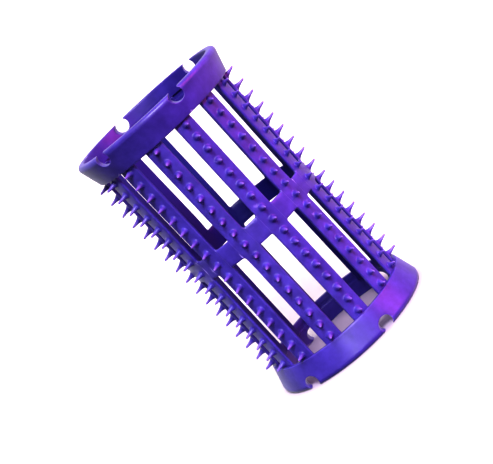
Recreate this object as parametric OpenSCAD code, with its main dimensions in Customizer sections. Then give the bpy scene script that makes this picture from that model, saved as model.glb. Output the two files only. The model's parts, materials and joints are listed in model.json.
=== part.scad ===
// Open-cage hair roller: two flared end rings, a centre band, and a cage of spined bars between them.
// Z is the roller's axis. It stands on its lower rim at z = 0, and -Y is its front.
// Each bar's ends tuck inside the rings' lips, where a small foot snaps into a groove around the
// ring's bore, and each bar is half-lapped over the centre band.

/* [Overall] */
// Length from rim to rim, mm
roller_length = 62; // [58:1:72]
// Largest diameter of an end ring, mm
ring_d = 36; // [36:0.5:40]
// Outer diameter of the cage of bars, mm
cage_d = 32; // [31:0.5:32]

/* [End rings] */
// Height of an end ring, rim to lip
ring_h = 5.6; // [5.4:0.1:6]
// Radial thickness of the ring's lip, outside the cage
lip_step = 0.7; // [0.6:0.1:1.1]
// Radial wall of the ring at its rim
rim_wall = 1.75; // [1.4:0.05:1.85]
// Size of the eased outer corner of the rim
rim_ease = 1; // [0.6:0.1:1.2]

/* [Rim notches] */
// Diameter of the round notch
notch_d = 2.9; // [2:0.1:3.2]
// Distance of the notch's centre from the rim
notch_z = 1.15; // [0.8:0.05:1.3]
// Sideways distance of the two straight notch cuts from the roller's axis
notch_offset = 9.4; // [7:0.1:11]

/* [Cage] */
// Number of bars around the cage
bar_count = 14; // [10:1:16]
// Width of a bar
bar_w = 3.9; // [3:0.1:4.2]
// Radial thickness of a bar and of the centre band
bar_t = 0.8; // [0.7:0.05:1.2]
// Width of the centre band along the axis
band_w = 4.5; // [3:0.1:6]
// How far the centre band sits above the middle of the roller
band_lift = 0.2; // [0:0.1:1]

/* [Spines] */
// Number of spines in a bar's row
spine_count = 17; // [9:2:17]
// Distance between two spines
spine_pitch = 3.05; // [2.6:0.05:3.05]
// Height of a spine above its bar
spine_h = 2.3; // [1.6:0.1:3]
// Diameter of a spine at its foot
spine_foot_d = 1.5; // [1.2:0.1:1.8]
// Diameter of a spine near its tip
spine_tip_d = 0.46; // [0.4:0.02:0.6]

/* [Joints] */
// How far a bar's end reaches inside a ring's lip
seat_depth = 2; // [1.8:0.1:2.2]
// How far the foot on a bar's end stands out into the ring's groove
foot_step = 0.4; // [0.2:0.05:0.4]
// Height of the foot along the axis
foot_h = 1; // [0.6:0.1:1.2]
// Clearance around a bar in its seats and in its lap
joint_gap = 0.04; // [0.02:0.01:0.08]

/* [Hidden] */
$fn = 96;
ring_r = ring_d / 2;
cage_r = cage_d / 2;
bore_r = cage_r - bar_t;
lap_r = cage_r - bar_t / 2;
lip_r = cage_r + lip_step;
rim_bore_r = ring_r - rim_wall;
seat_r = cage_r + joint_gap;
seat_z = ring_h - seat_depth;
groove_r = cage_r + foot_step + joint_gap;
groove_low = seat_z - joint_gap;
groove_high = seat_z + foot_h + joint_gap;
band_low = (roller_length - band_w) / 2 + band_lift;
band_high = band_low + band_w;
spine_root = 0.3;
spine_edge = 0.06;
spine_fn = 20;
plastic = [0.29, 0.19, 0.78];

BAR_NAMES = [for (i = [1 : bar_count]) str("spined_bar_", i < 10 ? "0" : "", i)];

// A length of curved bar, centred on the front (-Y) and cut from a tube around the axis
module curved_bar(width, r_in, r_out, z_low, z_high) {
  translate([0, 0, z_low])
    linear_extrude(height = z_high - z_low)
      intersection() {
        difference() {
          circle(r = r_out);
          circle(r = r_in);
        }
        translate([-width / 2, -2 * cage_r])
          square([width, 2 * cage_r]);
      }
}

// Copies its children to each bar's place around the axis
module around_cage() {
  for (i = [0 : bar_count - 1])
    rotate([0, 0, i * 360 / bar_count])
      children();
}

// A ring's wall, revolved: flared outside, eased at the rim, with a groove inside the lip
module ring_wall() {
  rotate_extrude()
    polygon([
      [rim_bore_r, 0],
      [ring_r - 0.75 * rim_ease, 0],
      [ring_r - 0.22 * rim_ease, 0.3 * rim_ease],
      [ring_r, rim_ease],
      [lip_r, ring_h],
      [seat_r, ring_h],
      [seat_r, groove_high],
      [groove_r, groove_high],
      [groove_r, groove_low],
      [seat_r, groove_low],
      [seat_r, 0.75 * groove_low]
    ]);
}

// An end ring with its rim at z = 0 and two straight notch cuts right across the rim
module end_ring() {
  difference() {
    ring_wall();
    for (side = [-1, 1])
      translate([side * notch_offset, 0, notch_z])
        rotate([90, 0, 0])
          cylinder(d = notch_d, h = ring_d + 2, center = true);
  }
}

module end_ring_bottom() {
  color(plastic)
    end_ring();
}

module end_ring_top() {
  color(plastic)
    translate([0, 0, roller_length])
      mirror([0, 0, 1])
        end_ring();
}

// The band around the cage's middle, with a lap channel in its outer half for each bar
module centre_band() {
  color(plastic)
    difference() {
      translate([0, 0, band_low])
        linear_extrude(height = band_w)
          difference() {
            circle(r = cage_r);
            circle(r = bore_r);
          }
      around_cage()
        curved_bar(bar_w + 2 * joint_gap, lap_r - joint_gap, cage_r + 1, band_low - 1, band_high + 1);
    }
}

// A spine that points to the front (-Y), with a wide foot, a slim stem and a rounded tip
module spine() {
  rotate([90, 0, 0])
    rotate_extrude($fn = spine_fn)
      polygon([
        [0, cage_r - spine_root],
        [spine_foot_d / 2, cage_r - spine_root],
        [spine_foot_d / 2, cage_r - spine_edge],
        [0.3 * spine_foot_d, cage_r + 0.35 * spine_h],
        [0.6 * spine_tip_d, cage_r + 0.75 * spine_h],
        [0.5 * spine_tip_d, cage_r + 0.92 * spine_h],
        [0.3 * spine_tip_d, cage_r + 0.985 * spine_h],
        [0, cage_r + spine_h]
      ]);
}

// The bare bar from seat to seat, with a foot at each end and the lap notch behind its middle
module bare_bar() {
  difference() {
    curved_bar(bar_w, bore_r, cage_r, seat_z, roller_length - seat_z);
    translate([0, 0, band_low - joint_gap])
      cylinder(r = lap_r + joint_gap, h = band_w + 2 * joint_gap);
  }
  for (z = [seat_z, roller_length - seat_z - foot_h])
    curved_bar(bar_w, lap_r, cage_r + foot_step, z, z + foot_h);
}

// One bar with its row of spines, turned to its place around the axis
module spined_bar(number) {
  color(plastic)
    rotate([0, 0, (number - 1) * 360 / bar_count]) {
      bare_bar();
      for (k = [0 : spine_count - 1])
        translate([0, 0, roller_length / 2 + (k - (spine_count - 1) / 2) * spine_pitch])
          spine();
    }
}

end_ring_bottom();
end_ring_top();
centre_band();
for (i = [1 : bar_count]) {
  spined_bar(i);
}
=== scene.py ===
"""The look of the open-cage hair roller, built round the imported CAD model.

Sizes are in millimetres until Shell.build, which makes the mesh in metres. The roller's axis is +Z, it stands on
its lower rim at z = 0, and -Y is its front. "Lateral" is the sideways distance from a bar's middle line.

Each CAD node gets one closed mesh of the same shape, with rounded edges. The waist at the band, the drift of the
bars, the tilt of the band and the lean of the spines are in these meshes only.
"""

import json
import math
import random

import bmesh
import bpy
from mathutils import Matrix, Vector


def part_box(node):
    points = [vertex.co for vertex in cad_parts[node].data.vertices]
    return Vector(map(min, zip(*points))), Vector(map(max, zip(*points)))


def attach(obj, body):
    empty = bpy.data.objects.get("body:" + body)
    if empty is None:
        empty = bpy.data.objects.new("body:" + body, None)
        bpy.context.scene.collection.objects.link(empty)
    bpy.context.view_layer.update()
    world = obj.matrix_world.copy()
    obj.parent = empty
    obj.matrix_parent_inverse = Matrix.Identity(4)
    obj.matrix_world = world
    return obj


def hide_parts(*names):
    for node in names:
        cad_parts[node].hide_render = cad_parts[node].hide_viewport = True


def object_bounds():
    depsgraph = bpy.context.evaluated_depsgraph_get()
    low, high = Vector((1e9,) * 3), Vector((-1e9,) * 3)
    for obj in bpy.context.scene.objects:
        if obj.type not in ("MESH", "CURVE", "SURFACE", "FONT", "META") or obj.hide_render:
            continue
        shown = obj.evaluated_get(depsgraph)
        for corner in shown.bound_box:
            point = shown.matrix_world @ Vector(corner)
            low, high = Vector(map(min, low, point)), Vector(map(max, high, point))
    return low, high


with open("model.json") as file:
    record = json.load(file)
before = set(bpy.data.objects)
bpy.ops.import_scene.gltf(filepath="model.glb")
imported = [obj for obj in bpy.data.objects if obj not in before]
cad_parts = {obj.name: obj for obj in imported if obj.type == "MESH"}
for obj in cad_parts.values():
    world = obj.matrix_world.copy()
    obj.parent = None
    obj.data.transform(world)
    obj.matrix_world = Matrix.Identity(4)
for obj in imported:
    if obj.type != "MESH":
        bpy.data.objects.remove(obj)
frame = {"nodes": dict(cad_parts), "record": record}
cad_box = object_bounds()

# ---------------------------------------------------------------- sizes taken from the frame
MM = 0.001
BODY = "root"

bar_nodes = sorted(n for n in frame["nodes"] if n.startswith("spined_bar_"))
ring_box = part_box("end_ring_bottom")
band_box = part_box("centre_band")
bar_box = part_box(bar_nodes[0])
bore = next(m for m in frame["record"]["mounts"] if m["name"] == "tube_bore")

LENGTH = cad_box[1].z / MM
RING_R = ring_box[1].x / MM
RING_H = ring_box[1].z / MM
CAGE_R = band_box[1].y / MM
BORE_R = bore["dims"]["r_mm"]
BAND_LOW = band_box[0].z / MM
BAND_HIGH = band_box[1].z / MM
BAR_HALF = bar_box[1].x / MM
BAR_LOW = bar_box[0].z / MM
SPINE_H = -bar_box[0].y / MM - CAGE_R
BARS = len(bar_nodes)
PITCH_ANGLE = 2 * math.pi / BARS

# ---------------------------------------------------------------- finer sizes shared by the pieces, mm
EDGE = 0.24  # radius of the rounded edges of the bars and the band
CORNER = 0.42  # radius of the windows' corners at the band
WAIST = 0.25  # how far the cage bows inwards at its middle
BAND_MIDDLE = (BAND_LOW + BAND_HIGH) / 2
LAP_R = (CAGE_R + BORE_R) / 2
JOINT_GAP = 0.04
SEAT_R = CAGE_R + JOINT_GAP
FOOT_STEP = 0.4
FOOT_H = 1.0
WALL_STEPS = 4  # faces through a wall's thickness
FLAT_STEPS = 6  # faces across a bar's flat width
EDGE_DEPTHS = [EDGE * share for share in (0, 0.1, 0.25, 0.45, 0.7, 1)]
FLAT_HALF = BAR_HALF - EDGE
WELD = 0.002  # points nearer than this are one
NORMAL_WEIGHT = 60  # how strongly the large faces set the smooth shading


class Shell:
    """Points and faces of one piece, gathered grid by grid and welded into one closed mesh."""

    def __init__(self):
        self.points = []
        self.faces = []

    def grid(self, rows, closed=False, keep=None):
        """Joins rows of equally many points with quads. closed joins each row's end to its start."""
        start = len(self.points)
        count = len(rows[0])
        for row in rows:
            self.points.extend(row)
        for i in range(len(rows) - 1):
            for j in range(count if closed else count - 1):
                if keep is None or keep(i, j):
                    near = start + i * count
                    far = near + count
                    after = (j + 1) % count
                    self.faces.append((near + j, near + after, far + after, far + j))

    def fan(self, loop, tip):
        """Joins a closed loop of points to one tip."""
        start = len(self.points)
        self.points.extend(loop)
        self.points.append(tip)
        for j in range(len(loop)):
            self.faces.append((start + j, start + (j + 1) % len(loop), start + len(loop)))

    def build(self, name, nodes, material, place=Matrix.Identity(4), settled=True):
        """Makes the piece, in metres, and hides the CAD parts that it stands for.

        place turns it to its place round the axis, and a settled piece moves with the cage.
        """
        mesh = bpy.data.meshes.new(name)
        mesh.from_pydata([Vector(p) * MM for p in self.points], [], self.faces)
        shape = bmesh.new()
        shape.from_mesh(mesh)
        bmesh.ops.remove_doubles(shape, verts=shape.verts, dist=WELD * MM)
        bmesh.ops.dissolve_degenerate(shape, edges=shape.edges, dist=WELD * MM)
        bmesh.ops.recalc_face_normals(shape, faces=shape.faces)
        bmesh.ops.transform(shape, matrix=place, verts=shape.verts)
        if settled:
            for vert in shape.verts:
                vert.co = settle(vert.co)
        for face in shape.faces:
            face.smooth = True
        shape.to_mesh(mesh)
        shape.free()
        piece = bpy.data.objects.new(name, mesh)
        bpy.context.scene.collection.objects.link(piece)
        mesh.materials.append(material)
        weighted = piece.modifiers.new("weighted_normals", "WEIGHTED_NORMAL")
        weighted.keep_sharp = True
        weighted.weight = NORMAL_WEIGHT
        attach(piece, BODY)
        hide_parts(*nodes)
        return piece


def blend(a, b, share):
    """The point that lies share of the way from a to b."""
    return tuple(p + (q - p) * share for p, q in zip(a, b))


def ease(share):
    """0 to 1 with a soft start and end."""
    share = min(1.0, max(0.0, share))
    return share * share * (3 - 2 * share)


def drop(depth, radius=EDGE):
    """How far a rounded edge falls below its face, at a depth inside the outline."""
    if depth >= radius:
        return 0.0
    return radius - math.sqrt(radius ** 2 - (radius - depth) ** 2)


# ---------------------------------------------------------------- the settled cage
# How far each bar sits off the even pitch, in mm round the cage towards the next bar: below and above the band
DRIFTS = {
    1: (-0.12, -0.52), 2: (0.12, -0.10), 3: (0.68, 0.10), 7: (-0.21, -0.70), 8: (-0.19, -0.19), 9: (0.21, -0.28),
    10: (0.55, -0.11), 14: (-0.53, -0.95),
}
DRIFT_EASE = 4  # mm below and above the band over which a bar changes from one drift to the other
DRIFT_HOLD = 0.3  # share of the pitch on each side of a bar's middle line that moves with the bar
BAND_TILT = 0.4  # mm by which the band's far side is lower
TILT_REACH = 8  # mm below and above the band's middle where the tilt has faded out


def drift_of(number, above):
    """A bar's drift in mm, where above goes from 0 below the band to 1 above it."""
    low, high = DRIFTS.get(number, (0, 0))
    return low + (high - low) * above


def settle(point):
    """Moves a point of the cage, in metres, as the real one has settled.

    The bars drift a little off their even pitch, and the band's far side sits a little lower.
    """
    x, y, z = point.x, point.y, point.z / MM
    turn = math.atan2(x, -y) / PITCH_ANGLE
    bar = math.floor(turn)
    above = ease((z - BAND_LOW + DRIFT_EASE) / (BAND_HIGH - BAND_LOW + 2 * DRIFT_EASE))
    near, far = (drift_of((bar + step) % BARS + 1, above) for step in (0, 1))
    share = ease((turn - bar - DRIFT_HOLD) / (1 - 2 * DRIFT_HOLD))
    angle = (near + (far - near) * share) / CAGE_R
    bell = max(0, 1 - ((z - BAND_MIDDLE) / TILT_REACH) ** 2) ** 2
    lower = BAND_TILT * bell * (1 + y / MM / CAGE_R) / 2
    cos, sin = math.cos(angle), math.sin(angle)
    return Vector((x * cos - y * sin, x * sin + y * cos, (z - lower) * MM))


# ---------------------------------------------------------------- nodes
def add_node(tree, kind, **settings):
    """Adds a node. A setting is one of its properties, or else one of its inputs, with _ for a space."""
    made = tree.nodes.new(kind)
    for key, value in settings.items():
        if hasattr(made, key):
            setattr(made, key, value)
        else:
            made.inputs[key.replace("_", " ")].default_value = value
    return made


def map_range(tree, value, source, target=(0.0, 1.0), smooth=False):
    """Maps a socket's value from the source range to the target range, clamped. Returns the new socket."""
    made = add_node(
        tree, "ShaderNodeMapRange", interpolation_type="SMOOTHSTEP" if smooth else "LINEAR",
        From_Min=source[0], From_Max=source[1], To_Min=target[0], To_Max=target[1],
    )
    tree.links.new(value, made.inputs["Value"])
    return made.outputs["Result"]


def mix_colours(tree, share, a, b):
    """Mixes from a, which is a colour or a socket, to the colour b by a socket's share. Returns the new socket."""
    made = add_node(tree, "ShaderNodeMix", data_type="RGBA", B=b)
    if isinstance(a, tuple):
        made.inputs["A"].default_value = a
    else:
        tree.links.new(a, made.inputs["A"])
    tree.links.new(share, made.inputs["Factor"])
    return made.outputs["Result"]


def noise(tree, place, scale):
    """A cloudy pattern at a place's socket. Returns the new socket."""
    made = add_node(tree, "ShaderNodeTexNoise", Scale=scale, Detail=4.0, Roughness=0.6)
    tree.links.new(place, made.inputs["Vector"])
    return made.outputs["Fac"]


# ---------------------------------------------------------------- material
PLASTIC = {
    "Specular IOR Level": 0.5,
    "IOR": 1.49,
    "Sheen Weight": 0.04,
    "Sheen Roughness": 0.4,
    "Sheen Tint": (0.85, 0.6, 1.0, 1),
    "Coat Weight": 0.15,
    "Coat Roughness": 0.25,
    "Subsurface Weight": 0.06,
    "Subsurface Scale": 0.001,
    "Subsurface Radius": (0.6, 0.4, 1.2),
}
CLOUD_SCALE = 260.0
CLOUD_TONES = ((0.32, (0.048, 0.025, 0.29, 1)), (0.68, (0.084, 0.047, 0.45, 1)))
GRAIN_SCALE = 2600.0
ROUGHNESS = (0.34, 0.52)
# Pale edges found by pointiness: mostly a painted highlight along the rounded edges, partly edge wear
EDGE_HIGHLIGHT_AND_WEAR_TONE = (0.42, 0.31, 0.85, 1)
EDGE_HIGHLIGHT_AND_WEAR_POINTINESS = (0.52, 0.62)
EDGE_HIGHLIGHT_AND_WEAR_SHARE = 0.85
EDGE_HIGHLIGHT_AND_WEAR_SHARE_BARS = 0.3  # weaker, because the small curves of the spines' feet would show as dots
# Painted shade on the faces inside the cage and the rings
PAINTED_SHADE_TONE = (0.006, 0.003, 0.17, 1)
# Painted highlight on the spines: paler towards the tips
TIP_HIGHLIGHT_TONE = (0.26, 0.15, 0.66, 1)
TIP_HIGHLIGHT_SHARE = 0.8
TIP_HIGHLIGHT_FROM = CAGE_R + 0.15
TIP_HIGHLIGHT_TO = CAGE_R + 0.65 * SPINE_H


def make_plastic(name, inside_r, outside_r, shade, spine_tip_highlight):
    """Satin moulded plastic: cloudy violet, fine grain, and pale edges painted as a highlight with a little wear.

    From outside_r in to inside_r, both in mm from the axis, painted shade darkens the colour, up to the share
    shade.
    Spine tips get a painted highlight where asked.
    """
    material = bpy.data.materials.new(name)
    material.use_nodes = True
    tree = material.node_tree
    tree.nodes.clear()
    link = tree.links.new
    output = add_node(tree, "ShaderNodeOutputMaterial")
    shader = add_node(tree, "ShaderNodeBsdfPrincipled")
    for socket, value in PLASTIC.items():
        shader.inputs[socket].default_value = value
    link(shader.outputs["BSDF"], output.inputs["Surface"])

    place = add_node(tree, "ShaderNodeTexCoord").outputs["Object"]
    tones = add_node(tree, "ShaderNodeValToRGB")
    for element, (position, tone) in zip(tones.color_ramp.elements, CLOUD_TONES):
        element.position = position
        element.color = tone
    link(noise(tree, place, CLOUD_SCALE), tones.inputs["Fac"])
    # Painted highlight, with a little wear, on the sharpest edges
    edges = add_node(tree, "ShaderNodeNewGeometry").outputs["Pointiness"]
    edge_highlight_and_wear = map_range(tree, edges, EDGE_HIGHLIGHT_AND_WEAR_POINTINESS, (0.0, EDGE_HIGHLIGHT_AND_WEAR_SHARE_BARS if spine_tip_highlight else EDGE_HIGHLIGHT_AND_WEAR_SHARE))
    colour = mix_colours(tree, edge_highlight_and_wear, tones.outputs["Color"], EDGE_HIGHLIGHT_AND_WEAR_TONE)

    # Painted shade: the colour darkens towards the axis, on the inner faces
    flat = add_node(tree, "ShaderNodeVectorMath", operation="MULTIPLY")
    flat.inputs[1].default_value = (1, 1, 0)
    link(place, flat.inputs[0])
    away = add_node(tree, "ShaderNodeVectorMath", operation="LENGTH")
    link(flat.outputs["Vector"], away.inputs[0])
    inside = map_range(tree, away.outputs["Value"], (inside_r * MM, outside_r * MM), (shade, 0.0))
    colour = mix_colours(tree, inside, colour, PAINTED_SHADE_TONE)
    # Painted highlight on the spines, paler towards their tips
    if spine_tip_highlight:
        reach = map_range(tree, away.outputs["Value"], (TIP_HIGHLIGHT_FROM * MM, TIP_HIGHLIGHT_TO * MM), (0.0, TIP_HIGHLIGHT_SHARE), smooth=True)
        colour = mix_colours(tree, reach, colour, TIP_HIGHLIGHT_TONE)
    link(colour, shader.inputs["Base Color"])

    grain = noise(tree, place, GRAIN_SCALE)
    link(map_range(tree, grain, (0.0, 1.0), ROUGHNESS), shader.inputs["Roughness"])
    bump = add_node(tree, "ShaderNodeBump", Strength=0.25, Distance=0.00004)
    link(grain, bump.inputs["Height"])
    link(bump.outputs["Normal"], shader.inputs["Normal"])
    return material


# Radii between which painted shade darkens the colour: within a ring's lip, and within the wall of the band and the
# bars
RING_PAINTED_SHADE = (CAGE_R + 0.5, CAGE_R + 0.65)
CAGE_PAINTED_SHADE = (BORE_R, CAGE_R - WAIST - 0.1)
ring_plastic = make_plastic("violet_plastic_ring", *RING_PAINTED_SHADE, 0.4, False)
band_plastic = make_plastic("violet_plastic_band", *CAGE_PAINTED_SHADE, 0.95, False)
spine_plastic = make_plastic("violet_plastic_painted_tip_highlight", *CAGE_PAINTED_SHADE, 0.85, True)

# ---------------------------------------------------------------- bars
SEED = 100
SPINES = 17
SPINE_PITCH = 3.05
CELL_STEPS = 8  # rows to a spine's cell, where nothing else sets them
ROW_GAP = 0.15  # smallest distance between such a row and one that the band's edges need
CELL_SHARES = (0, 0.4, 0.75)  # loops between a cell's rectangle and the spine's round foot
# How far the spines of some bars lean, as a share of their length: towards the next bar, and upwards
SPINE_LEANS = {
    1: (0.12, 0.0), 3: (-0.42, 0.0), 4: (-0.58, 0.1), 5: (-0.1, 0.22), 12: (0.0, -0.2), 13: (0.0, -0.1),
    14: (0.15, 0.0),
}
# How far single tips are bent, sideways and upwards: mean and spread
SPINE_BENDS = ((0, 0.05), (0.05, 0.06))
SPINE_SHORTER = 0.03  # the most that a single spine is shorter, as a share
# Radius and rise of each loop up a spine
SPINE_PROFILE = (
    (0.98, 0.0), (0.86, 0.02), (0.775, 0.07), (0.695, 0.17), (0.61, 0.32), (0.52, 0.52), (0.44, 0.77),
    (0.38, 1.02), (0.325, 1.3), (0.28, 1.6), (0.25, 1.88), (0.232, 2.08), (0.19, 2.21), (0.105, 2.285),
)
NOTCHED_R = LAP_R + 0.02  # inside of a bar where it laps over the band
FOOT_ROWS = (0, 0.12, 0.2, FOOT_H - 0.1, FOOT_H - 0.05, FOOT_H)
FOOT_RISE = 0.2
FOOT_FALL = 0.1
END_BEVEL = 0.1
END_ROW = 0.06  # rows nearer than this to a bar's end are bevelled


def window_depth(lateral_depth, z):
    """Distance into the plastic from the nearest window outline, whose corners at the band are rounded."""
    nearest = []
    for side, edge in ((1, BAND_HIGH), (-1, BAND_LOW)):
        below = side * (edge + side * CORNER - z)
        if below <= 0:
            nearest.append(lateral_depth)
        else:
            nearest.append(math.hypot(lateral_depth + CORNER, below) - CORNER)
    return min(nearest)


def waist(z):
    """How far the cage bows inwards at a height: nothing at the rings, most at the band."""
    share = (z - LENGTH / 2) / (LENGTH / 2 - RING_H)
    return WAIST * (1 - min(1, share ** 2)) ** 2


def on_tube(lateral, radius, z):
    """A point of the front bar, from its lateral place and its distance from the axis."""
    return (lateral, waist(z) - math.sqrt(radius ** 2 - lateral ** 2), z)


def bar_levels():
    """The heights of the rows along a bar, cell by cell: one cell to a spine."""
    fillet = [math.sqrt((CORNER + depth) ** 2 - CORNER ** 2) for depth in EDGE_DEPTHS]
    special = [BAND_LOW - CORNER + rise for rise in fillet] + [BAND_LOW]
    special += [BAND_HIGH + CORNER - rise for rise in fillet] + [BAND_HIGH]
    cells = []
    for k in range(SPINES):
        middle = LENGTH / 2 + (k - (SPINES - 1) / 2) * SPINE_PITCH
        low, high = middle - SPINE_PITCH / 2, middle + SPINE_PITCH / 2
        inside = [z for z in special if low < z < high]
        plain = [low + (high - low) * step / CELL_STEPS for step in range(1, CELL_STEPS)]
        plain = [z for z in plain if all(abs(z - other) > ROW_GAP for other in inside)]
        cells.append((middle, sorted([low, high] + inside + plain)))
    return cells


def spine_cell(shell, middle, levels, draw, leans):
    """The patch of a bar's outer face round one spine, and the spine: a rectangle that turns into a circle."""
    across = [FLAT_HALF * (2 * step / FLAT_STEPS - 1) for step in range(FLAT_STEPS + 1)]
    outline = [(s, levels[0]) for s in across[:-1]]
    outline += [(FLAT_HALF, z) for z in levels[:-1]]
    outline += [(s, levels[-1]) for s in reversed(across[1:])]
    outline += [(-FLAT_HALF, z) for z in reversed(levels[1:])]
    turns = [math.atan2(z - middle, s) for s, z in outline]
    foot = SPINE_PROFILE[0][0]
    loops = []
    for share in CELL_SHARES:
        loop = []
        for (s, z), turn in zip(outline, turns):
            s, z = blend((s, z), (foot * math.cos(turn), middle + foot * math.sin(turn)), share)
            loop.append(on_tube(s, CAGE_R, z))
        loops.append(loop)
    bend_s, bend_z = (draw.gauss(mean, spread) for mean, spread in SPINE_BENDS)
    tall = SPINE_H * (1 - SPINE_SHORTER * draw.random())
    top = SPINE_PROFILE[-1][1]
    side, up = leans
    out = math.sqrt(1 - side ** 2 - up ** 2)

    def place(radius, rise, turn):
        bend = (rise / top) ** 2
        x, y, z = on_tube(radius * math.cos(turn), CAGE_R, middle + radius * math.sin(turn))
        reach = rise * tall / SPINE_H
        x += reach * side + bend_s * bend
        return (x, y - reach * out, z + reach * up + bend_z * bend)

    for radius, rise in SPINE_PROFILE:
        loops.append([place(radius, rise, turn) for turn in turns])
    shell.grid(loops, closed=True)
    shell.fan(loops[-1], place(0, SPINE_H, 0))


def end_reach(z):
    """How far a height is from the nearer end of the bar."""
    return min(z, LENGTH - z) - BAR_LOW


def end_lift(z):
    """How far a bar's outer face stands out at its end, where the snap foot is."""
    reach = end_reach(z)
    if reach > FOOT_H:
        return 0.0
    return FOOT_STEP * ease(min(reach / FOOT_RISE + 0.5, (FOOT_H - reach) / FOOT_FALL))


def end_inset(z):
    """How far a bar's faces draw in at its very end, as a small bevel."""
    return END_BEVEL if end_reach(z) < END_ROW else 0.0


def bar_section(z, inner):
    """The right side, the back and the left side at one height, from the outer face's right edge."""
    inset = end_inset(z)
    half, outer, inner = BAR_HALF - inset, CAGE_R + end_lift(z) - inset, inner + inset
    right = []
    for depth in reversed(EDGE_DEPTHS):
        right.append((half - depth, outer - drop(window_depth(depth, z))))
    top, low = outer - drop(window_depth(0, z)), inner + drop(window_depth(0, z))
    for step in range(1, WALL_STEPS):
        right.append((half, top + (low - top) * step / WALL_STEPS))
    for depth in EDGE_DEPTHS:
        right.append((half - depth, inner + drop(window_depth(depth, z))))
    left = [(-s, r) for s, r in reversed(right)]
    back = [(FLAT_HALF * (1 - 2 * step / FLAT_STEPS), inner) for step in range(1, FLAT_STEPS)]
    return [on_tube(s, r, z) for s, r in right + back + left]


def bar_cap(shell, z):
    """Closes a bar's end with a grid from its outer edge to its inner edge."""
    section = bar_section(z, BORE_R)
    side = len(EDGE_DEPTHS)
    walls = side + WALL_STEPS - 1
    flat = [blend(section[-1], section[0], step / FLAT_STEPS) for step in range(1, FLAT_STEPS)]
    flat = [on_tube(x, CAGE_R + end_lift(z) - end_inset(z), z) for x, _, _ in flat]
    outer = section[-side:] + flat + section[:side]
    inner = section[walls:-walls][::-1]
    rows = []
    for step in range(WALL_STEPS + 1):
        rows.append([blend(a, b, step / WALL_STEPS) for a, b in zip(outer, inner)])
    shell.grid(rows)


def make_bar(number, node):
    """One bar with its spines, its snap feet and the lap notch behind its middle."""
    draw = random.Random(SEED + number)
    shell = Shell()
    cells = bar_levels()
    leans = SPINE_LEANS.get(number, (0.0, 0.0))
    for middle, levels in cells:
        spine_cell(shell, middle, levels, draw, leans)
    first, last = cells[0][1][0], cells[-1][1][-1]
    ends = [BAR_LOW + rise for rise in FOOT_ROWS]
    levels = sorted(set(ends + [LENGTH - z for z in ends] + [z for _, cell in cells for z in cell]))

    # The sides and the back, with a step on each side of the lap
    sections = []
    for z in levels:
        inners = [BORE_R]
        if BAND_LOW < z < BAND_HIGH:
            inners = [NOTCHED_R]
        elif abs(z - BAND_LOW) < WELD:
            inners = [BORE_R, NOTCHED_R]
        elif abs(z - BAND_HIGH) < WELD:
            inners = [NOTCHED_R, BORE_R]
        for inner in inners:
            sections.append(bar_section(z, inner))
    shell.grid(sections)

    # The outer face beyond the first and the last spine's cell, and the caps
    for part in ([z for z in levels if z <= first + WELD], [z for z in levels if z >= last - WELD]):
        rows = []
        for z in part:
            inset = end_inset(z)
            radius = CAGE_R + end_lift(z) - inset
            half = BAR_HALF - inset - EDGE
            rows.append([on_tube(half * (2 * s / FLAT_STEPS - 1), radius, z) for s in range(FLAT_STEPS + 1)])
        shell.grid(rows)
    for z in (levels[0], levels[-1]):
        bar_cap(shell, z)
    turn = Matrix.Rotation((number - 1) * PITCH_ANGLE, 4, "Z")
    return shell.build(f"cage_bar_{number:02d}", [node], spine_plastic, turn)


# ---------------------------------------------------------------- centre band
BAND_EASE_HIGH = 3.2  # how many times wider the band's upper rounded edge is between the bars
BAND_EASE_LOW = 1.8  # the same for its lower edge
BAND_STEPS = 3  # rows from the band's middle line to its rounded edge
FILLET_STEPS = 6
WINDOW_STEPS = 4
LAP_STEPS = 4


def band_profile():
    """Rows round the band's upper half: (surface, depth from the outline, share of the way) from outside in."""
    rows = [("outer", EDGE, step / BAND_STEPS) for step in range(BAND_STEPS + 1)]
    rows += [("outer", depth, 1) for depth in reversed(EDGE_DEPTHS[:-1])]
    rows += [("wall", 0, step / WALL_STEPS) for step in range(1, WALL_STEPS)]
    rows += [("inner", depth, 1) for depth in EDGE_DEPTHS[:-1]]
    rows += [("inner", EDGE, 1 - step / BAND_STEPS) for step in range(BAND_STEPS + 1)]
    return rows


def band_columns():
    """Columns round the band, bar by bar: (kind, bar, lateral place or share of the way)."""
    columns = []
    for bar in range(BARS):
        for step in range(LAP_STEPS + 1):
            columns.append(("lap", bar, BAR_HALF * (2 * step / LAP_STEPS - 1)))
        for step in range(FILLET_STEPS + 1):
            columns.append(("fillet", bar, step / FILLET_STEPS))
        for step in range(1, WINDOW_STEPS):
            columns.append(("flat", bar, step / WINDOW_STEPS))
        for step in range(FILLET_STEPS + 1):
            columns.append(("mirror", bar, 1 - step / FILLET_STEPS))
    return columns


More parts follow.
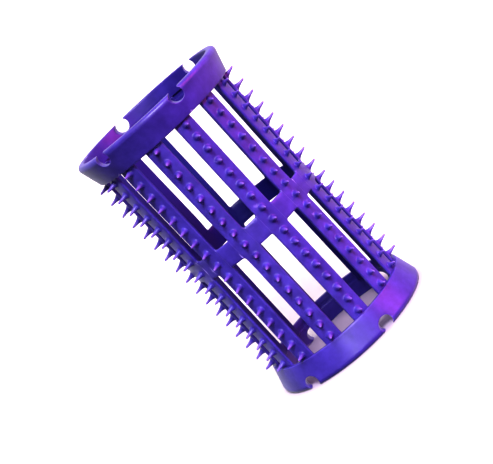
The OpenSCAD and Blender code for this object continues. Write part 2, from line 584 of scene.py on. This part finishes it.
def band_point(column, row, side):
    """The point of the band where a column meets a row, in the upper (side 1) or the lower half (side -1)."""
    kind, bar, along = column
    surface, depth, share = row
    lap = kind == "lap"
    fall = 0 if lap else drop(depth)
    if surface != "wall" and not lap:
        widening = BAND_EASE_HIGH if side > 0 else BAND_EASE_LOW
        depth *= 1 + (widening - 1) * (1 if kind == "flat" else ease(along))
    outer, inner = (LAP_R if lap else CAGE_R) - fall, BORE_R + fall
    if surface == "wall":
        radius = outer + (inner - outer) * share
    else:
        radius = outer if surface == "outer" else inner
    start = bar * PITCH_ANGLE
    if lap:
        angle = start + math.asin(along / radius)
        edge_z = BAND_HIGH - depth
    else:
        first = math.acos(CORNER / (CORNER + depth))
        arc = first + (math.pi / 2 - first) * (1.0 if kind == "flat" else along)
        away = CORNER - (CORNER + depth) * math.cos(arc)
        edge_z = BAND_HIGH + CORNER - (CORNER + depth) * math.sin(arc)
        low = start + math.asin((BAR_HALF + away) / radius)
        high = start + PITCH_ANGLE - math.asin((BAR_HALF + away) / radius)
        angle = {"fillet": low, "mirror": high, "flat": low + (high - low) * along}[kind]
    if surface != "wall" and share < 1:
        edge_z = BAND_MIDDLE + (edge_z - BAND_MIDDLE) * share
    z = edge_z if side > 0 else 2 * BAND_MIDDLE - edge_z

    # Beside a bar the waist moves the band as it moves the bar, and elsewhere straight towards the axis
    nearest = round(angle / PITCH_ANGLE) * PITCH_ANGLE
    facing = nearest if abs(angle - nearest) * radius < BAR_HALF + CORNER else angle
    bow = waist(z)
    x, y = radius * math.sin(angle), -radius * math.cos(angle)
    return (x - bow * math.sin(facing), y + bow * math.cos(facing), z)


def make_band():
    """The centre band: full between the bars, and behind each bar only its inner half."""
    upper, columns = band_profile(), band_columns()
    rows = [[band_point(c, row, 1) for c in columns] for row in upper]
    rows += [[band_point(c, row, -1) for c in columns] for row in reversed(upper)]
    shell = Shell()
    shell.grid(rows + [rows[0]], closed=True)
    return shell.build("cage_centre_band", ["centre_band"], band_plastic)


# ---------------------------------------------------------------- end rings
NOTCH_R = 1.45
NOTCH_Z = 1.15
NOTCH_X = 9.4
NOTCH_LIP = 0.08  # radius of the lips where a notch opens at the rim
NOTCH_EDGE = 0.12  # radius of a notch's rounded edges on the ring's faces
NOTCH_DEPTHS = [NOTCH_EDGE * share for share in (0, 0.25, 0.6, 1)]
ARCH = math.radians(45)
ARCH_STEPS = 8
RIM_IN = 16.25  # inner radius at the rim
RIM_IN_EASE = 0.22  # radius of the rim's inner edge
RIM_FACE_OUT = 17.2  # outer radius of the rim's flat face
RIM_EASE_H = 1.0  # height of the rounded corner outside it
RIM_CURVE = (2.6, 2.2)  # exponents of that corner's outline
RIM_STEPS = 4
TAPER_H = 2.67  # height of the taper inside
LIP_R = 16.7
LIP_EASE_H = 0.22
LIP_EASE_IN = 0.2
LIP_SHARES = (0, 0.25, 0.5, 0.75, 1)
SEAT_EDGE_OUT = 0.24
# Loops down into the seat: how far outside it, and how far below the lip
SEAT_PROFILE = ((0.1, 0), (0.03, 0.03), (0, 0.1), (0, 0.9))
# Loops round the snap groove: how far outside the seat, and how far above the bars' ends
GROOVE_PROFILE = (
    (0, FOOT_H + 0.06), (0, FOOT_H + JOINT_GAP), (FOOT_STEP, FOOT_H + JOINT_GAP), (FOOT_STEP, FOOT_H - 0.03),
    (FOOT_STEP, 0.03), (FOOT_STEP, -JOINT_GAP), (0, -JOINT_GAP), (0, -0.06),
)
LIP_JOIN_Z = 0.136  # where a notch's lips meet its circle
CORNER_Z = NOTCH_Z + NOTCH_R * math.cos(ARCH)
SIDE_Z = [
    0, 0.006, 0.022, 0.05, 0.08, 0.108, LIP_JOIN_Z, 0.25, 0.42, 0.6, 0.8, 0.95, 1.05, 1.25, 1.55, 1.87, CORNER_Z,
]
FLAT_ABOVE = 2.98
CONE_Z = (FLAT_ABOVE, 3.6, 4.3, 5.0)
# The columns that bend towards a notch: sideways limits, at a middle radius of the ring
FAR_LEFT = 6.6
FAR_RIGHT = 12.2
MIDDLE_R = 17.0
LEFT_TURN = math.asin(FAR_LEFT / MIDDLE_R)
RIGHT_TURN = math.asin(FAR_RIGHT / MIDDLE_R)
LEFT_STEPS = 7
BLEND_STEPS = 4
RIGHT_STEPS = 13
SLOPE_STEP = 0.004  # height over which a wall's slope is measured


def outer_radius(z):
    """The ring's outside at a height: eased at the rim, then a cone that narrows to the lip."""
    if z >= RIM_EASE_H:
        return RING_R + (LIP_R - RING_R) * (z - RIM_EASE_H) / (RING_H - RIM_EASE_H)
    rise = 1 - z / RIM_EASE_H
    return RIM_FACE_OUT + (RING_R - RIM_FACE_OUT) * (1 - rise ** RIM_CURVE[0]) ** (1 / RIM_CURVE[1])


def inner_radius(z):
    """The ring's inside: a slight taper, with a small rounded edge at the rim."""
    radius = RIM_IN + (SEAT_R - RIM_IN) * min(1, z / TAPER_H)
    return radius + drop(z, RIM_IN_EASE)


def notch_half(z):
    """Half the notch's width at a height: rounded lips at the rim, then the circle."""
    lip_x = math.sqrt((NOTCH_R + NOTCH_LIP) ** 2 - (NOTCH_Z - NOTCH_LIP) ** 2)
    join = NOTCH_LIP + NOTCH_LIP * (NOTCH_Z - NOTCH_LIP) / (NOTCH_R + NOTCH_LIP)
    if z < join:
        return lip_x - math.sqrt(max(0, NOTCH_LIP ** 2 - (NOTCH_LIP - z) ** 2))
    return math.sqrt(NOTCH_R ** 2 - (z - NOTCH_Z) ** 2)


def arch_z(x, depth):
    """The height of the line that lies depth above the notch's arch."""
    return NOTCH_Z + math.sqrt((NOTCH_R + depth) ** 2 - (x - NOTCH_X) ** 2)


def ring_rows():
    """Rows round the ring's section, up the outside and down the inside: (surface, radius, z, arch row)."""
    corner_x = NOTCH_X - NOTCH_R * math.sin(ARCH)
    arch_rows = [(arch_z(corner_x, depth), index) for index, depth in enumerate(NOTCH_DEPTHS)]
    rows = [("outer", None, z, None) for z in SIDE_Z[:-1]]
    rows += [("outer", None, z, index) for z, index in arch_rows]
    rows += [("outer", None, z, None) for z in CONE_Z]
    below = (RING_H - LIP_EASE_H, outer_radius(RING_H - LIP_EASE_H))
    corner = (RING_H, LIP_R)
    beyond = (RING_H, LIP_R - LIP_EASE_IN)
    for share in LIP_SHARES:
        z, radius = blend(blend(below, corner, share), blend(corner, beyond, share), share)
        rows.append(("plain", radius, z, None))
    rows.append(("plain", SEAT_R + SEAT_EDGE_OUT, RING_H, None))
    rows += [("plain", SEAT_R + out, RING_H - down, None) for out, down in SEAT_PROFILE]
    rows += [("plain", SEAT_R + out, BAR_LOW + up, None) for out, up in GROOVE_PROFILE]
    rows.append(("inner", None, FLAT_ABOVE, None))
    rows += [("inner", None, z, index) for z, index in reversed(arch_rows)]
    rows += [("inner", None, z, None) for z in reversed(SIDE_Z[:-1])]
    return rows


def ring_columns():
    """Columns over a quarter of the ring, from the front (-Y) to the side (+X), with one notch on the way."""
    columns = [("far", LEFT_TURN * step / LEFT_STEPS) for step in range(LEFT_STEPS)]
    columns += [("blend", -1, FAR_LEFT, step / BLEND_STEPS) for step in range(BLEND_STEPS)]
    columns += [("edge", -1, index) for index in reversed(range(len(NOTCH_DEPTHS)))]
    for step in range(1, ARCH_STEPS):
        columns.append(("arch", NOTCH_X + NOTCH_R * math.sin(ARCH * (2 * step / ARCH_STEPS - 1))))
    columns += [("edge", 1, index) for index in range(len(NOTCH_DEPTHS))]
    columns += [("blend", 1, FAR_RIGHT, 1 - step / BLEND_STEPS) for step in range(1, BLEND_STEPS + 1)]
    rest = math.pi / 2 - RIGHT_TURN
    columns += [("far", RIGHT_TURN + rest * step / RIGHT_STEPS) for step in range(1, RIGHT_STEPS + 1)]
    return columns


def edge_x(side, index, z):
    """The sideways place of a line beside a notch, on its left (side -1) or right, at a height."""
    level = min(z, CORNER_Z)
    lean = abs(level - NOTCH_Z) / NOTCH_R if level > LIP_JOIN_Z else 0
    stretch = 1 / math.sqrt(1 - min(0.5, lean ** 2))
    return NOTCH_X + side * (notch_half(level) + NOTCH_DEPTHS[index] * stretch)


def far_angle(base, radius):
    """The angle of a column away from the notch. Near the notch it keeps its sideways place at each radius."""
    weight = ease(base / LEFT_TURN) if base < LEFT_TURN else ease((math.pi / 2 - base) / (math.pi / 2 - RIGHT_TURN))
    return base + weight * (math.asin(min(1, MIDDLE_R * math.sin(base) / radius)) - base)


def ring_point(column, row):
    """The point of the ring where a column meets a row. Its depth from a notch's outline rounds the edge."""
    kind, *rest = column
    surface, radius, z, arch = row
    depth = x = None
    if kind == "edge":
        side, index = rest
        x = edge_x(side, index, z)
        if arch is not None and arch > 0:
            depth = math.hypot(NOTCH_DEPTHS[index], NOTCH_DEPTHS[arch])
        elif z <= CORNER_Z + WELD:
            depth = NOTCH_DEPTHS[index]
    elif kind == "blend":
        side, far_x, share = rest
        x = far_x + (edge_x(side, len(NOTCH_DEPTHS) - 1, z) - far_x) * share
    elif kind == "arch":
        x = rest[0]
        if arch is not None:
            depth = NOTCH_DEPTHS[arch]
            z = arch_z(x, depth)
    if radius is None:
        shape = outer_radius if surface == "outer" else inner_radius
        radius = shape(z)
        if depth is not None:
            facing = 1 / math.hypot(1, (shape(z + SLOPE_STEP) - radius) / SLOPE_STEP)
            radius += (-1 if surface == "outer" else 1) * drop(depth, NOTCH_EDGE) * facing
    angle = far_angle(rest[0], radius) if x is None else math.asin(x / radius)
    return (radius * math.sin(angle), -radius * math.cos(angle), z)


def quarter_ring():
    """A quarter of an end ring with one notch, as sheets: rows of points, and which of their faces to keep."""
    rows, columns = ring_rows(), ring_columns()
    start, stop = columns.index(("edge", -1, 0)), columns.index(("edge", 1, 0))
    count, levels = len(rows), len(SIDE_Z)

    def beside_notch(i, j):
        return not start <= j < stop

    def outside_notch(i, j):
        return levels - 1 <= i < count - levels or beside_notch(i, j)

    def through(outer, inner):
        return [blend(outer, inner, step / RIM_STEPS) for step in range(RIM_STEPS + 1)]

    faces = [[ring_point(c, row) for c in columns] for row in rows]
    rim = []
    for step in range(RIM_STEPS + 1):
        radius = inner_radius(0) + (outer_radius(0) - inner_radius(0)) * step / RIM_STEPS
        rim.append([ring_point(c, ("plain", radius, 0, None)) for c in columns])
    rim[0], rim[-1] = faces[-1], faces[0]
    sheets = [(faces, outside_notch), (rim, beside_notch)]
    for column in (start, stop):
        wall = [[row[column] for row in reversed(rim)]]
        wall += [through(faces[level][column], faces[-1 - level][column]) for level in range(1, levels)]
        sheets.append((wall, None))
    arch = [through(faces[levels - 1][column], faces[-levels][column]) for column in range(start, stop + 1)]
    return sheets + [(arch, None)]


def make_ring(name, node, flip):
    """An end ring with four keyhole notches, mirrored from one quarter. flip turns it over for the upper end."""
    shell = Shell()
    sheets = quarter_ring()
    for mirror_x, mirror_y in ((1, 1), (1, -1), (-1, 1), (-1, -1)):
        for rows, keep in sheets:
            turned = [[(x * mirror_x, y * mirror_y, LENGTH - z if flip else z) for x, y, z in row] for row in rows]
            shell.grid(turned, keep=keep)
    return shell.build(name, [node], ring_plastic, settled=False)


pieces = [
    make_ring("end_ring_lower", "end_ring_bottom", False),
    make_ring("end_ring_upper", "end_ring_top", True),
    make_band(),
]
pieces += [make_bar(number, bar_node) for number, bar_node in enumerate(bar_nodes, 1)]

# ---------------------------------------------------------------- stage
FLOOR_HALF = 3.0  # metres
FLOOR_Z = -0.00002  # metres: just under the lower rim
FLOOR_STEPS = 8
FLOOR_PALE = (0.84, 0.77, 0.81, 1)
# Painted contact shadow of the roller on the floor, violet-grey
FLOOR_PAINTED_SHADOW = (0.56, 0.45, 0.62, 1)
FLOOR_GLOW = 0.1
SHADOW_PATCH_R = 0.9 * RING_R  # where the floor's painted contact shadow starts to fade
SHADOW_TONE_R = 1.15 * RING_R  # where its colour has faded out
GLOW_R = 1.3 * RING_R  # where the floor glows fully
# The sky: heights, sides and ranges are parts of a direction of length 1
HORIZON_TOP = 0.03
HORIZON_LIGHT = 1.2
STUDIO_LIGHT = 1.25
DIM_LIGHT = 0.10
DIM_SIDE = (-0.3, -0.85, -0.4)
DIM_RANGE = (-0.3, 0.5)
PINK = (1, 0.5, 0.7, 1)
PINK_RANGE = (0.1, 0.9)


def make_floor():
    """A large pale sheet under the roller, with a soft painted contact shadow, darker and with less glow, where the
    roller stands.
    """
    mesh = bpy.data.meshes.new("floor")
    lines = [FLOOR_HALF * (2 * step / FLOOR_STEPS - 1) for step in range(FLOOR_STEPS + 1)]
    points = [(x, y, FLOOR_Z) for x in lines for y in lines]
    faces = []
    for i in range(FLOOR_STEPS):
        for j in range(FLOOR_STEPS):
            a = i * (FLOOR_STEPS + 1) + j
            faces.append((a, a + FLOOR_STEPS + 1, a + FLOOR_STEPS + 2, a + 1))
    mesh.from_pydata(points, [], faces)
    floor = bpy.data.objects.new("floor", mesh)
    bpy.context.scene.collection.objects.link(floor)

    material = bpy.data.materials.new("pale_paper")
    material.use_nodes = True
    tree = material.node_tree
    shader = tree.nodes["Principled BSDF"]
    shader.inputs["Roughness"].default_value = 0.9
    shader.inputs["Emission Color"].default_value = (1, 0.98, 1, 1)
    place = add_node(tree, "ShaderNodeTexCoord")
    away = add_node(tree, "ShaderNodeVectorMath", operation="LENGTH")
    tree.links.new(place.outputs["Object"], away.inputs[0])
    # Painted contact shadow: less glow and a darker colour near the roller
    glow = map_range(tree, away.outputs["Value"], (SHADOW_PATCH_R * MM, GLOW_R * MM), (0.0, FLOOR_GLOW))
    tree.links.new(glow, shader.inputs["Emission Strength"])
    shadow_fade = map_range(tree, away.outputs["Value"], (SHADOW_PATCH_R * MM, SHADOW_TONE_R * MM))
    tree.links.new(mix_colours(tree, shadow_fade, FLOOR_PAINTED_SHADOW, FLOOR_PALE), shader.inputs["Base Color"])
    mesh.materials.append(material)
    # Neither diffuse nor glossy rays see the floor, so it throws no light back on the roller
    floor.visible_diffuse = False
    floor.visible_glossy = False
    return floor


def add_light(kind, name, azimuth, elevation, distance, power):
    """A light that looks at the roller's middle. Azimuth 0 is the front, and 90 is the +X side."""
    data = bpy.data.lights.new(name, kind)
    data.energy = power
    light = bpy.data.objects.new(name, data)
    bpy.context.scene.collection.objects.link(light)
    a, e = math.radians(azimuth), math.radians(elevation)
    direction = Vector((math.cos(e) * math.sin(a), -math.cos(e) * math.cos(a), math.sin(e)))
    light.location = Vector((0, 0, LENGTH * MM / 2)) + direction * distance
    light.rotation_euler = direction.to_track_quat("Z", "Y").to_euler()
    return light


def add_softbox(name, azimuth, elevation, distance, size, watts, colour, lit):
    """A soft square light that reaches only the lit pieces."""
    light = add_light("AREA", name, azimuth, elevation, distance, watts)
    light.data.size = size
    light.data.color = colour
    group = bpy.data.collections.new("lit_by_" + name)
    for piece in lit:
        group.objects.link(piece)
    light.light_linking.receiver_collection = group


def add_spot(name, azimuth, elevation, distance, height, width, watts):
    """A small soft pool of light on the front of the cage, at a height in mm, its cone's width in degrees."""
    light = add_light("SPOT", name, azimuth, elevation, distance, watts)
    light.data.spot_size = math.radians(width)
    light.data.spot_blend = 1.0
    light.data.shadow_soft_size = 0.03
    light.location.z += (height - LENGTH / 2) * MM


def add_ceiling(name, azimuth, elevation, spread, strength):
    """A broad, even light from one side of the sky, the same all over the floor."""
    light = add_light("SUN", name, azimuth, elevation, 1.0, strength)
    light.data.angle = math.radians(spread)


def make_world():
    """A bright studio all round, dimmer in front, pinker on the right, with a thin white horizon."""
    world = bpy.data.worlds.new("studio")
    world.use_nodes = True
    tree = world.node_tree
    link = tree.links.new
    background = tree.nodes["Background"]
    place = add_node(tree, "ShaderNodeTexCoord").outputs["Generated"]
    split = add_node(tree, "ShaderNodeSeparateXYZ")
    link(place, split.inputs["Vector"])
    level = add_node(tree, "ShaderNodeMath", operation="ABSOLUTE")
    link(split.outputs["Z"], level.inputs[0])
    height = map_range(tree, level.outputs["Value"], (HORIZON_TOP, 2 * HORIZON_TOP), smooth=True)
    facing = add_node(tree, "ShaderNodeVectorMath", operation="DOT_PRODUCT")
    facing.inputs[1].default_value = DIM_SIDE
    link(place, facing.inputs[0])
    sides = map_range(tree, facing.outputs["Value"], DIM_RANGE, (STUDIO_LIGHT, DIM_LIGHT), smooth=True)
    strength = add_node(tree, "ShaderNodeMix", A=HORIZON_LIGHT)
    link(height, strength.inputs["Factor"])
    link(sides, strength.inputs["B"])
    link(strength.outputs["Result"], background.inputs["Strength"])

    share = add_node(tree, "ShaderNodeMath", operation="MULTIPLY")
    link(map_range(tree, split.outputs["X"], PINK_RANGE), share.inputs[0])
    link(height, share.inputs[1])
    link(mix_colours(tree, share.outputs["Value"], (1, 1, 1, 1), PINK), background.inputs["Color"])
    bpy.context.scene.world = world


def make_camera():
    """The photograph's view: from the front, a little above, rolled so that the roller leans to the left."""
    lens, sensor = 114.9, 36.0
    distance, elevation, roll, turn = 314.46, math.radians(10.43), math.radians(42.93), math.radians(13.485)
    target = Vector((-2.07, 0, 29.73))
    forward = Vector((0, math.cos(elevation), -math.sin(elevation)))
    right = Vector((1, 0, 0))
    up = Vector((0, math.sin(elevation), math.cos(elevation)))
    place = target - forward * distance
    cam_right = right * math.cos(roll) - up * math.sin(roll)
    cam_up = right * math.sin(roll) + up * math.cos(roll)
    data = bpy.data.cameras.new("camera")
    data.lens = lens
    data.sensor_width = sensor
    data.sensor_fit = "HORIZONTAL"
    data.clip_start = 0.01
    camera = bpy.data.objects.new("camera", data)
    bpy.context.scene.collection.objects.link(camera)
    pose = Matrix((
        (cam_right.x, cam_up.x, -forward.x, place.x * MM),
        (cam_right.y, cam_up.y, -forward.y, place.y * MM),
        (cam_right.z, cam_up.z, -forward.z, place.z * MM),
        (0, 0, 0, 1),
    ))
    camera.matrix_world = Matrix.Rotation(turn, 4, "Z") @ pose
    bpy.context.scene.camera = camera


make_floor()
make_world()
add_ceiling("ceiling", 20, 40, 20, 4.6)
add_softbox("side", 78, 20, 0.5, 0.3, 2.6, (1, 0.08, 0.4), pieces)
add_spot("low", 0, 12, 0.3, 18, 4.6, 9.0)
make_camera()
bpy.context.scene.view_settings.view_transform = "Standard"
bpy.context.scene.view_settings.gamma = 0.72
